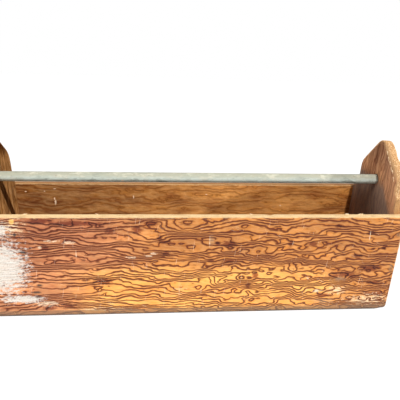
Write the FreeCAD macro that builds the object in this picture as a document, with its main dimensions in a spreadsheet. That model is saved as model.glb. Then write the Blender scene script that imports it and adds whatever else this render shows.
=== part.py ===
import FreeCAD, Part
import math
import os
import Sketcher

# An open tool tote: two plywood sides, two leaning plywood ends that rise into
# rounded gables, a plywood bottom let in between them, and a steel pipe that
# lies in a drilled socket in each end and is the carrying handle.
#
# Frame: +X along the box, +Y to the rear, +Z up. The origin is under the
# middle of the box, on the surface that it stands on. Millimetres.

DRIVING = [
    ("board_thick", 19.0, "thickness of every plywood board"),
    ("inner_length", 901.0, "between the ends, at the top edge of the sides"),
    ("inner_width", 230.0, "between the two sides"),
    ("side_height", 235.0, "height of the two sides"),
    ("lean_angle", 2.4, "outward lean of each end, in degrees"),
    ("front_shoulder", 270.0, "height of the ends' full width, at the front"),
    ("rear_shoulder", 258.0, "height of the ends' full width, at the rear"),
    ("wide_neck", 104.0, "from an end's middle to its neck, on its wider half"),
    ("wide_eave", 316.0, "where the gable's slope begins, on the wider half"),
    ("wide_eave_radius", 50.0, "rounding of the wider half's eave"),
    ("narrow_neck", 91.0, "from the middle to the neck, on the narrower half"),
    ("narrow_eave", 313.0, "where the slope begins, on the narrower half"),
    ("narrow_eave_radius", 35.0, "rounding of the narrower half's eave"),
    ("shoulder_rise", 11.5, "height of each sloping shoulder"),
    ("shoulder_radius", 4.0, "rounding of each shoulder's outer corner"),
    ("neck_radius", 8.0, "hollow rounding at the foot of each neck"),
    ("apex_height", 394.0, "where the two gable slopes would meet"),
    ("peak_radius", 36.0, "rounding of the gable's peak"),
    ("top_corner_radius", 3.0, "worn top corners of the sides"),
    ("foot_corner_radius", 9.0, "worn bottom corners of the sides"),
    ("eased_edge", 1.2, "rounding of the handled edges"),
    ("gable_edge", 1.6, "bevel planed on the arris of the gable"),
    ("pipe_height", 286.0, "centre of the handle above the ground"),
    ("pipe_outer", 23.4, "outer diameter of three-quarter-inch steel conduit"),
    ("pipe_inner", 20.9, "inner diameter of the same conduit"),
    ("pipe_chamfer", 0.4, "deburred ends of the pipe"),
    ("socket_bore", 25.4, "a one-inch drill, a loose running fit on the pipe"),
    ("socket_depth", 12.7, "depth of the blind socket on its axis"),
    ("pipe_end_gap", 0.5, "play between a pipe end and its socket floor"),
    ("nail_shank", 2.9, "diameter of the two-inch nails"),
    ("nail_head", 6.8, "diameter of their heads"),
    ("nail_head_thick", 1.3, "thickness of the heads"),
    ("nail_length", 50.8, "from the top of the head to the point"),
    ("nail_point", 4.5, "length of the point"),
    ("nail_set", 0.6, "depth that the heads are punched below the wood"),
    ("nail_dent", 7.6, "diameter of the dent that the punch leaves"),
    ("corner_nail_low", 20.0, "lowest corner nail, above the ground"),
    ("corner_nail_pitch", 86.0, "spacing of the three nails up a corner"),
    ("side_nail_pitch", 200.0, "spacing of the nails along the bottom"),
    ("end_nail_pitch", 80.0, "spacing of the nails through an end"),
]
DERIVED = [
    ("half_width", "=inner_width / 2", "from the middle to a side"),
    ("front_neck_foot", "=front_shoulder + shoulder_rise", "foot of a front neck"),
    ("rear_neck_foot", "=rear_shoulder + shoulder_rise", "foot of a rear neck"),
]

doc = FreeCAD.newDocument("tool_tote")
sheet = doc.addObject("Spreadsheet::Sheet", "Sizes")
for row, (alias, value, meaning) in enumerate(DRIVING + DERIVED, start=1):
    sheet.set(f"A{row}", meaning)
    sheet.set(f"B{row}", str(value))
    sheet.setAlias(f"B{row}", alias)
doc.recompute()


def size(alias):
    return float(sheet.get(alias))


LEAN = math.radians(size("lean_angle"))
THICK = size("board_thick")
HALF_WIDTH = size("half_width")
SLANT_THICK = THICK / math.cos(LEAN)


def half_length(height):
    """Half the inside length of the box at a height above the ground."""
    above_rim = height - size("side_height")
    return size("inner_length") / 2 + above_rim * math.tan(LEAN)


# The same half length, written for the sheet, at the ground and at the rim.
RIM_HALF = "Sizes.inner_length / 2"
FOOT_HALF = RIM_HALF + " - Sizes.side_height * tan(Sizes.lean_angle * 1 deg)"
SLANTED = "Sizes.board_thick / cos(Sizes.lean_angle * 1 deg)"
LEAN_RISE = "Sizes.board_thick * tan(Sizes.lean_angle * 1 deg)"


def new_body(name):
    return doc.addObject("PartDesign::Body", name)


def origin_plane(body, role):
    for feature in body.Origin.OriginFeatures:
        if feature.Role == role:
            return feature
    raise ValueError(f"{body.Name} has no {role}")


def new_sketch(body, name, role):
    sketch = body.newObject("Sketcher::SketchObject", name)
    sketch.AttachmentSupport = [(origin_plane(body, role), "")]
    sketch.MapMode = "FlatFace"
    return sketch


def polygon(sketch, points):
    """Draw a closed polygon whose corners meet; return its line numbers."""
    vectors = [FreeCAD.Vector(x, y, 0) for x, y in points]
    count = len(vectors)
    lines = []
    for i in range(count):
        segment = Part.LineSegment(vectors[i], vectors[(i + 1) % count])
        lines.append(sketch.addGeometry(segment, False))
    for i in range(count):
        following = lines[(i + 1) % count]
        sketch.addConstraint(
            Sketcher.Constraint("Coincident", lines[i], 2, following, 1))
    return lines


ON_AXIS = ""
SKETCH_ORIGIN = (-1, 1)
SKETCH_X_AXIS = -1
SKETCH_Y_AXIS = -2


def place_corner(sketch, line, across, up):
    """Fix the start of a line by two sheet formulas, or put it on an axis."""
    start = sketch.getPoint(line, 1)
    for kind, formula, value, axis in (
            ("DistanceX", across, start.x, SKETCH_Y_AXIS),
            ("DistanceY", up, start.y, SKETCH_X_AXIS)):
        if formula == ON_AXIS:
            sketch.addConstraint(
                Sketcher.Constraint("PointOnObject", line, 1, axis))
            continue
        index = sketch.addConstraint(
            Sketcher.Constraint(kind, *SKETCH_ORIGIN, line, 1, value))
        sketch.setExpression(f"Constraints[{index}]", formula)


def pad(body, name, sketch, length, reversed_way=False, midplane=False):
    feature = body.newObject("PartDesign::Pad", name)
    feature.Profile = sketch
    feature.Reversed = reversed_way
    feature.Midplane = midplane
    feature.setExpression("Length", length)
    sketch.Visibility = False
    doc.recompute()
    return feature


def edges_where(feature, test):
    """Names of the edges of a feature's shape whose two ends pass a test."""
    names = []
    for number, edge in enumerate(feature.Shape.Edges, start=1):
        if len(edge.Vertexes) == 2 and all(test(v.Point) for v in edge.Vertexes):
            names.append(f"Edge{number}")
    return names


def fillet(body, name, base, edges, radius):
    feature = body.newObject("PartDesign::Fillet", name)
    feature.Base = (base, edges)
    feature.setExpression("Radius", radius)
    doc.recompute()
    return feature


def chamfer(body, name, base, edges, width):
    feature = body.newObject("PartDesign::Chamfer", name)
    feature.Base = (base, edges)
    feature.setExpression("Size", width)
    doc.recompute()
    return feature


def near(a, b, slack=0.01):
    return abs(a - b) < slack


# ---------------------------------------------------------------- the sides
def corner_edges(feature, out, up):
    """The two edges that cross a side's thickness at its corners of a height."""
    names = []
    for x in (-out, out):
        names += edges_where(feature, lambda p: near(p.x, x) and near(p.z, up))
    assert len(names) == 2, f"{feature.Name}: corner edges {names}"
    return names


def make_side(name, rear):
    """A side: a board with slanting ends, flush with the outside of the ends.

    Its inner face lies in the body's XZ plane, and the body is moved out to
    the side of the box. Worn corners come first, then the handled arrises.
    """
    body = new_body(name)
    foot = half_length(0) + SLANT_THICK
    rim = half_length(size("side_height")) + SLANT_THICK
    top = size("side_height")
    sketch = new_sketch(body, name + "_outline", "XZ_Plane")
    corners = [(-foot, 0), (foot, 0), (rim, top), (-rim, top)]
    lines = polygon(sketch, corners)
    foot_formula = f"{FOOT_HALF} + {SLANTED}"
    rim_formula = f"{RIM_HALF} + {SLANTED}"
    place_corner(sketch, lines[0], f"-({foot_formula})", ON_AXIS)
    place_corner(sketch, lines[1], foot_formula, ON_AXIS)
    place_corner(sketch, lines[2], rim_formula, "Sizes.side_height")
    place_corner(sketch, lines[3], f"-({rim_formula})", "Sizes.side_height")
    board = pad(body, name + "_board", sketch, "Sizes.board_thick", rear)
    outer = THICK if rear else -THICK

    feet = corner_edges(board, foot, 0)
    worn = fillet(body, name + "_feet", board, feet, "Sizes.foot_corner_radius")
    tips = corner_edges(worn, rim, top)
    worn = fillet(body, name + "_tips", worn, tips, "Sizes.top_corner_radius")
    arris = edges_where(worn, lambda p: near(p.y, outer))
    arris += edges_where(worn, lambda p: near(p.y, 0) and near(p.z, top))
    fillet(body, name + "_arris", worn, arris, "Sizes.eased_edge")
    shift = HALF_WIDTH if rear else -HALF_WIDTH
    body.Placement.Base = FreeCAD.Vector(0, shift, 0)
    return body


# ----------------------------------------------------------------- the ends
def measured(alias, sign=1):
    """A signed size: its value, and the formula that ties it to the sheet."""
    return sign * size(alias), f"{sign} * Sizes.{alias}"


def make_end(name, right):
    """An end: outlined in its own plane, then leaned outwards.

    The body's YZ plane is the inner face. The outline runs up both edges to
    the shoulders, in to the neck and over the gable. It was sawn by eye, so
    its halves differ. The wider half is at the front of the right end and at
    the rear of the left one, and the front shoulders are higher. A wedge
    comes off the foot, so that the leaning board stands flat.
    """
    body = new_body(name)
    wide = -1 if right else 1
    middle = (0.0, ON_AXIS)
    ground = (0.0, ON_AXIS)
    wide_edge = measured("half_width", wide)
    wide_neck = measured("wide_neck", wide)
    narrow_edge = measured("half_width", -wide)
    narrow_neck = measured("narrow_neck", -wide)
    wide_side, narrow_side = ("front", "rear") if right else ("rear", "front")
    wide_shoulder = (wide_edge, measured(wide_side + "_shoulder"))
    wide_neck_foot = (wide_neck, measured(wide_side + "_neck_foot"))
    wide_eave = (wide_neck, measured("wide_eave"))
    apex = (middle, measured("apex_height"))
    narrow_eave = (narrow_neck, measured("narrow_eave"))
    narrow_neck_foot = (narrow_neck, measured(narrow_side + "_neck_foot"))
    narrow_shoulder = (narrow_edge, measured(narrow_side + "_shoulder"))
    corners = [(narrow_edge, ground), (wide_edge, ground), wide_shoulder,
               wide_neck_foot, wide_eave, apex, narrow_eave, narrow_neck_foot,
               narrow_shoulder]
    sketch = new_sketch(body, name + "_outline", "YZ_Plane")
    lines = polygon(sketch, [(across[0], up[0]) for across, up in corners])
    for line, (across, up) in zip(lines, corners):
        place_corner(sketch, line, across[1], up[1])
    board = pad(body, name + "_board", sketch, "Sizes.board_thick", not right)
    outward = 1 if right else -1

    wedge_sketch = new_sketch(body, name + "_wedge_side", "XZ_Plane")
    rise = THICK * math.tan(LEAN)
    wedge = [(0, 0), (outward * THICK, rise), (outward * THICK, 0)]
    wedge_lines = polygon(wedge_sketch, wedge)
    away = "Sizes.board_thick" if right else "-Sizes.board_thick"
    place_corner(wedge_sketch, wedge_lines[0], ON_AXIS, ON_AXIS)
    place_corner(wedge_sketch, wedge_lines[1], away, LEAN_RISE)
    place_corner(wedge_sketch, wedge_lines[2], away, ON_AXIS)
    foot = body.newObject("PartDesign::Pocket", name + "_foot")
    foot.Profile = wedge_sketch
    foot.Midplane = True
    foot.setExpression("Length", "Sizes.inner_width * 2")
    wedge_sketch.Visibility = False
    doc.recompute()
    removed = board.Shape.Volume - foot.Shape.Volume
    expected = THICK * rise / 2 * size("inner_width")
    assert near(removed, expected, 1.0), f"{name}: foot wedge {removed:.1f}"

    def at_any(places):
        spots = [(across[0], up[0]) for across, up in places]
        return lambda p: any(near(p.y, y) and near(p.z, z) for y, z in spots)

    shaped = foot
    for tag, rounded, radius in (
            ("peak", [apex], "peak_radius"),
            ("wide_eave", [wide_eave], "wide_eave_radius"),
            ("narrow_eave", [narrow_eave], "narrow_eave_radius"),
            ("necks", [wide_neck_foot, narrow_neck_foot], "neck_radius"),
            ("shoulders", [wide_shoulder, narrow_shoulder], "shoulder_radius")):
        edges = edges_where(shaped, at_any(rounded))
        assert len(edges) == len(rounded), f"{name}: {tag} edges {edges}"
        shaped = fillet(body, f"{name}_{tag}", shaped, edges, f"Sizes.{radius}")
    free_from = size("side_height") + 2.0
    gable = edges_where(
        shaped, lambda p: p.z > free_from and (near(p.x, 0) or near(abs(p.x), THICK)))
    chamfer(body, name + "_gable", shaped, gable, "Sizes.gable_edge")
    base = FreeCAD.Vector(outward * half_length(0), 0, 0)
    turn = FreeCAD.Rotation(FreeCAD.Vector(0, 1, 0), outward * size("lean_angle"))
    body.Placement = FreeCAD.Placement(base, turn)
    return body


# --------------------------------------------------------------- the bottom
def make_bottom(name):
    """The bottom: let in between the sides, its ends cut to meet the lean."""
    body = new_body(name)
    low = half_length(0)
    high = half_length(THICK)
    sketch = new_sketch(body, name + "_profile", "XZ_Plane")
    lines = polygon(sketch, [(-low, 0), (low, 0), (high, THICK), (-high, THICK)])
    high_formula = f"{FOOT_HALF} + {LEAN_RISE}"
    place_corner(sketch, lines[0], f"-({FOOT_HALF})", ON_AXIS)
    place_corner(sketch, lines[1], FOOT_HALF, ON_AXIS)
    place_corner(sketch, lines[2], high_formula, "Sizes.board_thick")
    place_corner(sketch, lines[3], f"-({high_formula})", "Sizes.board_thick")
    pad(body, name + "_board", sketch, "Sizes.inner_width", midplane=True)
    return body


# ----------------------------------------------------------------- the pipe
def make_pipe(name):
    """The handle: a length of steel pipe, deburred at both ends."""
    body = new_body(name)
    sketch = new_sketch(body, name + "_section", "YZ_Plane")
    for formula in ("Sizes.pipe_outer / 2", "Sizes.pipe_inner / 2"):
        radius = size("pipe_outer" if "outer" in formula else "pipe_inner") / 2
        circle = Part.Circle(FreeCAD.Vector(0, 0, 0), FreeCAD.Vector(0, 0, 1), radius)
        ring = sketch.addGeometry(circle, False)
        sketch.addConstraint(Sketcher.Constraint("Coincident", ring, 3, -1, 1))
        index = sketch.addConstraint(Sketcher.Constraint("Radius", ring, radius))
        sketch.setExpression(f"Constraints[{index}]", formula)
    above_rim = "(Sizes.pipe_height - Sizes.side_height)"
    reach = f"{above_rim} * tan(Sizes.lean_angle * 1 deg)"
    length = (f"2 * ({RIM_HALF} + {reach} + Sizes.socket_depth"
              " - Sizes.pipe_end_gap)")
    tube = pad(body, name + "_tube", sketch, length, midplane=True)
    rims = [f"Edge{number}" for number, edge in enumerate(tube.Shape.Edges, start=1)
            if edge.Closed and near(edge.Curve.Radius, size("pipe_outer") / 2)]
    chamfer(body, name + "_deburred", tube, rims, "Sizes.pipe_chamfer")
    body.Placement.Base = FreeCAD.Vector(0, 0, size("pipe_height"))
    return body


# ---------------------------------------------------------------- the nails
NAIL_FACETS = 12
DRIVEN = FreeCAD.Vector(0, 0, 1)


def nail_prism(name, across, height):
    prism = doc.addObject("Part::Prism", name)
    prism.Polygon = NAIL_FACETS
    prism.setExpression("Circumradius", f"{across} / 2")
    prism.setExpression("Height", height)
    return prism


def make_nail_pattern():
    """One nail with its head at the origin, driven up the Z axis."""
    shank_length = "Sizes.nail_length - Sizes.nail_point"
    head = nail_prism("nail_head", "Sizes.nail_head", "Sizes.nail_head_thick")
    shank = nail_prism("nail_shank", "Sizes.nail_shank", shank_length)
    root = doc.addObject("Part::RegularPolygon", "nail_point_root")
    root.Polygon = NAIL_FACETS
    root.setExpression("Circumradius", "Sizes.nail_shank / 2")
    root.setExpression("Placement.Base.z", shank_length)
    tip = doc.addObject("Part::Vertex", "nail_point_tip")
    tip.setExpression("Placement.Base.z", "Sizes.nail_length")
    point = doc.addObject("Part::Loft", "nail_point")
    point.Sections = [root, tip]
    point.Solid = True
    point.Ruled = True
    nail = doc.addObject("Part::MultiFuse", "nail_pattern")
    nail.Shapes = [head, shank, point]
    nail.Refine = True
    return nail


def link(name, pattern, place, direction, depth):
    """A copy of a pattern at a depth below a place on a board's face."""
    way = FreeCAD.Vector(*direction)
    copy = doc.addObject("App::Link", name)
    copy.LinkedObject = pattern
    base = FreeCAD.Vector(*place) + way * depth
    copy.Placement = FreeCAD.Placement(base, FreeCAD.Rotation(DRIVEN, way))
    return copy


def group(name, members):
    compound = doc.addObject("Part::Compound", name)
    compound.Links = members
    return compound


def make_nails(name, places, direction):
    """Nails driven from places on one face, and the dents above their heads."""
    nails = []
    dents = []
    for number, place in enumerate(places, start=1):
        nails.append(link(f"{name}_{number}", nail_pattern, place, direction,
                          size("nail_set")))
        dents.append(link(f"{name}_dent_{number}", dent_pattern, place,
                          direction, -size("nail_set")))
    return group(name, nails), group(name + "_dents", dents)


def end_middle(height):
    """Distance from the middle of the box to the middle of an end's edge."""
    return half_length(height) + SLANT_THICK / 2


nail_pattern = make_nail_pattern()
dent_pattern = nail_prism("dent_pattern", "Sizes.nail_dent", "Sizes.nail_set * 2")
corner_heights = [size("corner_nail_low") + i * size("corner_nail_pitch")
                  for i in range(3)]
side_stations = [i * size("side_nail_pitch") for i in (-2, -1, 0, 1, 2)]
end_stations = [i * size("end_nail_pitch") for i in (-1, 0, 1)]
outside = HALF_WIDTH + THICK
nail_groups = []
dent_groups = []


def drive(name, places, direction):
    nails, dents = make_nails(name, places, direction)
    nail_groups.append(nails)
    dent_groups.append(dents)


for face, wall, inward in (("front", -outside, 1), ("rear", outside, -1)):
    for hand, sign in (("left", -1), ("right", 1)):
        up_the_corner = [(sign * end_middle(z), wall, z) for z in corner_heights]
        drive(f"{face}_{hand}_nails", up_the_corner, (0, inward, 0))
    along_the_foot = [(x, wall, THICK / 2) for x in side_stations]
    drive(f"{face}_bottom_nails", along_the_foot, (0, inward, 0))
for hand, sign in (("left", -1), ("right", 1)):
    face_x = sign * (half_length(THICK / 2) + SLANT_THICK)
    across_the_end = [(face_x, y, THICK / 2) for y in end_stations]
    square_on = (-sign * math.cos(LEAN), 0, math.sin(LEAN))
    drive(f"{hand}_bottom_nails", across_the_end, square_on)
doc.recompute()


# ------------------------------------------- sockets, nail holes and assembly
def make_socket(name, right):
    """The drilled hole that takes one end of the pipe, as the drill leaves it."""
    bit = doc.addObject("Part::Cylinder", name)
    bit.setExpression("Radius", "Sizes.socket_bore / 2")
    clear_of_face = 4.0
    bit.setExpression("Height", f"Sizes.socket_depth + {clear_of_face}")
    outward = 1 if right else -1
    start = outward * (half_length(size("pipe_height")) - clear_of_face)
    aim = FreeCAD.Rotation(FreeCAD.Vector(0, 0, 1), FreeCAD.Vector(outward, 0, 0))
    base = FreeCAD.Vector(start, 0, size("pipe_height"))
    bit.Placement = FreeCAD.Placement(base, aim)
    return bit


def cut_board(label, blank, drilled=()):
    """A finished board: its blank, less the nails, dents and socket in it."""
    board = doc.addObject("Part::Cut", label)
    board.Base = blank
    board.Tool = group(label + "_holes", nail_groups + dent_groups + list(drilled))
    return board


left_socket = make_socket("left_socket", False)
right_socket = make_socket("right_socket", True)
boards = [
    cut_board("front_side", make_side("front_side_blank", False)),
    cut_board("rear_side", make_side("rear_side_blank", True)),
    cut_board("left_end", make_end("left_end_blank", False), [left_socket]),
    cut_board("right_end", make_end("right_end_blank", True), [right_socket]),
    cut_board("bottom_board", make_bottom("bottom_board_blank")),
]
handle = make_pipe("handle_pipe")
doc.recompute()

for item in doc.Objects:
    broken = [word for word in item.State if word in ("Invalid", "Error")]
    assert not broken, f"{item.Name}: {item.State}"

os.makedirs("parts", exist_ok=True)
for node in boards + [handle] + nail_groups:
    shape = node.Shape
    assert not shape.isNull() and shape.isValid(), node.Name
    shape.exportStep(f"parts/{node.Label}.step")
    box = shape.BoundBox
    print(f"{node.Label}: {len(shape.Solids)} solid(s), {shape.Volume:.0f} mm3,"
          f" X {box.XMin:.1f}..{box.XMax:.1f} Y {box.YMin:.1f}..{box.YMax:.1f}"
          f" Z {box.ZMin:.1f}..{box.ZMax:.1f}")
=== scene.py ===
# %% [markdown]
# # An old open-topped tool tote
# A carpenter's tote is a long plywood box with no lid. Its two end boards rise above
# the sides and carry a steel pipe, which is the handle. This file dresses the tote:
# it loads the boards, the nails and the pipe as they were made, wears their edges
# down, and gives each one a finish of its own. Every length is in metres, +X runs
# along the box, +Y to the rear and +Z up.

# %% Load the boards, the nails and the pipe
import math
import bmesh
import bpy
from mathutils import Matrix, Vector, noise


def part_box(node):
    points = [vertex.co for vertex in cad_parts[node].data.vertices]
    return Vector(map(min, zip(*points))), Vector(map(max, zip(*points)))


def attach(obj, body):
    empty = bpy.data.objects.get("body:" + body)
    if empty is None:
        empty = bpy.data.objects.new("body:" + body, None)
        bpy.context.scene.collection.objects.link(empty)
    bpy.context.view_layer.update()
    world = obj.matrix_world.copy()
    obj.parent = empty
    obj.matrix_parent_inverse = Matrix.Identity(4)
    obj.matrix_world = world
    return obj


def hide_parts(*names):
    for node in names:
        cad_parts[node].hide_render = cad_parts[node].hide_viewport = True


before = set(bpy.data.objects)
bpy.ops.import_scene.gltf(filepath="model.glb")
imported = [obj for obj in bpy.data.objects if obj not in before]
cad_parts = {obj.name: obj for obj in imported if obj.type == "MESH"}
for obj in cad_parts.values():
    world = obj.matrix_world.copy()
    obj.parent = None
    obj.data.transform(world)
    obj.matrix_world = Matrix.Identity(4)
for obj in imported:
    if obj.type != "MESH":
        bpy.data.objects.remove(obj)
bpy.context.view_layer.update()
print("nodes:", ", ".join(sorted(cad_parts)))

# %% [markdown]
# ## The sizes that the finishes need
# The finishes are patterns in space, so they have to know where each board is. These
# sizes are measured on the loaded boards, not typed in again.

# %% Measure the boards
front_low, front_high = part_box("front_side")
end_low, end_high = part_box("right_end")
pipe_low, pipe_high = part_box("handle_pipe")

BOARD = front_high.y - front_low.y
RIM = front_high.z
HALF_WIDTH = -front_high.y
OUTSIDE = -front_low.y
TOP = end_high.z
FOOT_HALF = end_low.x
LEAN = math.atan((front_high.x - BOARD - FOOT_HALF) / RIM)
PIPE_HEIGHT = (pipe_high.z + pipe_low.z) / 2
print(f"board {BOARD * 1000:.1f} mm, rim {RIM * 1000:.0f} mm, lean {math.degrees(LEAN):.2f} degrees")

# %% [markdown]
# ## Writing a finish as sums
# A finish in Blender is a graph of small nodes. Drawn by hand the graph for old wood
# would fill a wall, so here a node's output is wrapped in a small class that knows
# plus, minus, times and divide. An expression such as `1 - mask * 0.5` then adds its
# own Math nodes.

# %% Sums on sockets
class Value:
    """What a node gives out, ready to be used in a sum."""

    def __init__(self, graph, socket):
        self.graph = graph
        self.socket = socket

    def maths(self, operation, *terms):
        return self.graph.node("ShaderNodeMath", {"operation": operation},
                               dict(enumerate(terms)))

    def __add__(self, other):
        return self.maths("ADD", self, other)

    def __sub__(self, other):
        return self.maths("SUBTRACT", self, other)

    def __mul__(self, other):
        return self.maths("MULTIPLY", self, other)

    def __truediv__(self, other):
        return self.maths("DIVIDE", self, other)

    def __pow__(self, other):
        return self.maths("POWER", self, other)

    def __radd__(self, other):
        return self.maths("ADD", other, self)

    def __rsub__(self, other):
        return self.maths("SUBTRACT", other, self)

    def __rmul__(self, other):
        return self.maths("MULTIPLY", other, self)

    def __rtruediv__(self, other):
        return self.maths("DIVIDE", other, self)

    def __abs__(self):
        return self.maths("ABSOLUTE", self)

    def least(self, other):
        return self.maths("MINIMUM", self, other)

    def most(self, other):
        return self.maths("MAXIMUM", self, other)

    def fraction(self):
        return self.maths("FRACT", self)

    def times_plus(self, factor, term):
        return self.maths("MULTIPLY_ADD", self, factor, term)

    def eased(self, start, end):
        """0 at start, 1 at end, with a smooth rise between them."""
        return self.graph.node(
            "ShaderNodeMapRange", {"interpolation_type": "SMOOTHSTEP"},
            {"Value": self, "From Min": start, "From Max": end})


# %% [markdown]
# ## Every other node
# All other nodes come from one method, `node`. The settings are made first, because
# some of them change which sockets a node has, and then each socket that is named
# gets its value or its link.

# %% Graphs
class Graph:
    """The node tree of a material or of the world, emptied and written anew."""

    def __init__(self, tree):
        self.tree = tree
        self.tree.nodes.clear()

    def node(self, kind, settings=None, inputs=None, out=0):
        """Any node: its kind, its settings, and the values or links of its sockets."""
        made = self.tree.nodes.new(kind)
        for name, value in (settings or {}).items():
            setattr(made, name, value)
        for key, value in (inputs or {}).items():
            socket = made.inputs[key]
            if isinstance(value, Value):
                self.tree.links.new(value.socket, socket)
            else:
                socket.default_value = value
        return Value(self, made.outputs[out]) if made.outputs else None

    def between(self, share, first, second):
        """A number between two numbers."""
        return self.node("ShaderNodeMix", inputs={0: share, 2: first, 3: second})


# %% [markdown]
# ## What a finish is made from
# A finish is a material whose pattern hangs on the piece's own coordinates, so it
# turns with the piece. It needs noise that can be stretched to a size, ways to lay
# one colour over another, and bumps that stand on other bumps.

# %% Finishes
class Finish(Graph):
    """A material. The place of a point on the piece is ready as x, y and z."""

    def __init__(self, name):
        self.material = bpy.data.materials.new(name)
        self.material.use_nodes = True
        super().__init__(self.material.node_tree)
        place = self.node("ShaderNodeTexCoord", out="Object")
        self.x = self.part_of(place, "X")
        self.y = self.part_of(place, "Y")
        self.z = self.part_of(place, "Z")

    def part_of(self, vector, axis):
        return self.node("ShaderNodeSeparateXYZ", inputs={0: vector}, out=axis)

    def vector(self, x, y, z):
        return self.node("ShaderNodeCombineXYZ", inputs={0: x, 1: y, 2: z})

    def noise(self, vector, detail=2.0, roughness=0.5):
        return self.node("ShaderNodeTexNoise", inputs={
            "Vector": vector, "Scale": 1.0, "Detail": detail, "Roughness": roughness})

    def grain(self, along, across, size, seed, detail=3.0, roughness=0.6):
        """Noise stretched to a size, (along, across) in millimetres, about 0 to 1."""
        long, wide = size
        return self.noise(self.vector(along * (1000 / long), across * (1000 / wide), seed),
                          detail, roughness)

    def mix(self, share, first, second):
        """A colour between two colours."""
        return self.node("ShaderNodeMix", {"data_type": "RGBA"},
                         {0: share, 6: first, 7: second}, out=2)

    def tint(self, share, colour, other):
        """A colour multiplied by another one."""
        return self.node("ShaderNodeMix", {"data_type": "RGBA", "blend_type": "MULTIPLY"},
                         {0: share, 6: colour, 7: other}, out=2)

    def bump(self, height, distance, below=None):
        """The slope of a height, on top of another bump if there is one below."""
        inputs = {"Height": height, "Distance": distance, "Strength": 1.0}
        if below is not None:
            inputs["Normal"] = below
        return self.node("ShaderNodeBump", inputs=inputs)

    def facing(self, axis):
        """1 on surfaces that face along an axis, either way, and 0 on the others."""
        normal = self.node("ShaderNodeNewGeometry", out="Normal")
        return abs(self.part_of(normal, axis)).eased(0.72, 0.9)

    def surface(self, **sockets):
        """End the finish with a Principled shader."""
        named = {name.replace("_", " "): value for name, value in sockets.items()}
        shader = self.node("ShaderNodeBsdfPrincipled", inputs=named)
        self.node("ShaderNodeOutputMaterial", inputs={"Surface": shader})
        print(f"{self.material.name}: {len(self.tree.nodes)} nodes")
        return self.material


# %% [markdown]
# ## Colours
# Colours are easiest to choose as a screen shows them, from 0 to 255. Blender reckons
# in amounts of light, so each one is turned into light with the usual screen curve.

# %% Turn screen colours into light
def colour(red, green, blue):
    linear = []
    for level in (red, green, blue):
        level = level / 255
        linear.append(level / 12.92 if level <= 0.04045
                      else ((level + 0.055) / 1.055) ** 2.4)
    return (*linear, 1.0)


# %% [markdown]
# ## Marks of use
# Stains, scuffs and knocks are ragged ovals. Each is written as the millimetres of
# its middle and of its half length and half height, so a mark can be moved or added
# by hand. Scratches are noise stretched into threads and laid across the grain.

# %% Ovals and scratches
def oval_reach(flat, places):
    """0 at the middle of the nearest oval and 1 on its rim."""
    u, v = flat
    nearest = None
    for middle_u, middle_v, half_u, half_v in places:
        along = u.times_plus(1000 / half_u, -middle_u / half_u)
        across = v.times_plus(1000 / half_v, -middle_v / half_v)
        squared = across.times_plus(across, along * along)
        nearest = squared if nearest is None else nearest.least(squared)
    return nearest ** 0.5


def ovals(flat, rough, places, ragged=1.3, soft=0.55):
    """1 inside any of several ragged ovals, 0 outside them."""
    reach = oval_reach(flat, places)
    return (1.15 - reach + (rough - 0.5) * ragged * 2).eased(0.0, soft)


def scratches(finish, along, across, seed, slope, density=0.5):
    """Thin scratches that run across the grain at a slope."""
    turned_along = along + across * slope
    turned_across = across - along * slope
    threads = finish.grain(turned_along, turned_across, (38, 0.9), seed, 1.0)
    where = finish.grain(turned_along, turned_across, (70, 30), seed + 4, 2.0)
    return threads.eased(0.66, 0.74) * where.eased(density, density + 0.1)


# %% [markdown]
# ## Growth rings in peeled plywood
# The face of fir plywood is peeled from a turning log, so the knife runs in and out
# of the growth rings and the rings show as contour lines, as on a map: long eyes,
# hooks and wandering lines. The pattern is made the same way here. A smooth noise,
# stretched along the grain, stands for the hills of the log, and a finer one ripples
# it. `rings` says how high the hills are, `drift` makes the rings climb across the
# board, `curl` adds tight curls where it is wanted, and `eyes` are ovals round a knot.

# %% The hills of a peeled face
def hills(finish, along, across, seed, reach, rings, drift, curl, eyes):
    """The height of a peeled face, in growth rings."""
    broad = finish.grain(along, across, reach, seed, 1.5, 0.45)
    ripple = finish.grain(along, across, (38, 19), seed + 7, 2.0, 0.55)
    height = broad * rings + across * drift + ripple * 1.9
    if curl is not None:
        height = height + finish.grain(along, across, (38, 24), seed + 9, 1.0) * curl
    if eyes:
        reach_of_eye = oval_reach((along, across), eyes)
        height = height + (1.6 - reach_of_eye).most(0) * 1.5
    return height


# %% [markdown]
# ## Lines of even width
# The rings are drawn at equal steps of height. On flat ground such a line would
# spread into a blot, so the height is read at two more points close by. They give the
# steepness, and the steepness turns millimetres into steps of height, so every line
# keeps its width. Wood darkens towards the end of a summer and then stops, so one
# side of each line is sharp and the other fades.

# %% Ring lines
NEARBY = 0.0012
THINNEST = 0.02
WIDEST = 0.26
FADE = 0.4


def ring_lines(finish, along, across, seed, reach=(125, 34), rings=7.0, drift=125.0,
               curl=None, eyes=(), width=1.0):
    """The dark late wood and the pale early wood of a peeled face, each 0 to 1."""
    figure = (seed, reach, rings, drift, curl, eyes)
    height = hills(finish, along, across, *figure)
    rise_along = hills(finish, along + NEARBY, across, *figure) - height
    rise_across = hills(finish, along, across + NEARBY, *figure) - height
    steep = (rise_along * rise_along + rise_across * rise_across) ** 0.5 / (NEARBY * 1000)
    step = height.fraction()
    strength = finish.grain(along, across, (70, 16), seed + 12, 3.0)
    fine = finish.grain(along, across, (9, 2.5), seed + 13, 2.0)
    half_width = (strength.eased(0.3, 0.7) * width + 0.45 + fine * 0.5) * steep
    past = (step - 0.5) / half_width.most(THINNEST).least(WIDEST)
    away = past.most(past * -FADE)
    late = (1 - away.eased(0.35, 1.45)) * (strength.eased(0.2, 0.5) * 0.5 + 0.5)
    early = abs(step - 0.5) * 2
    return late, early


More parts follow.
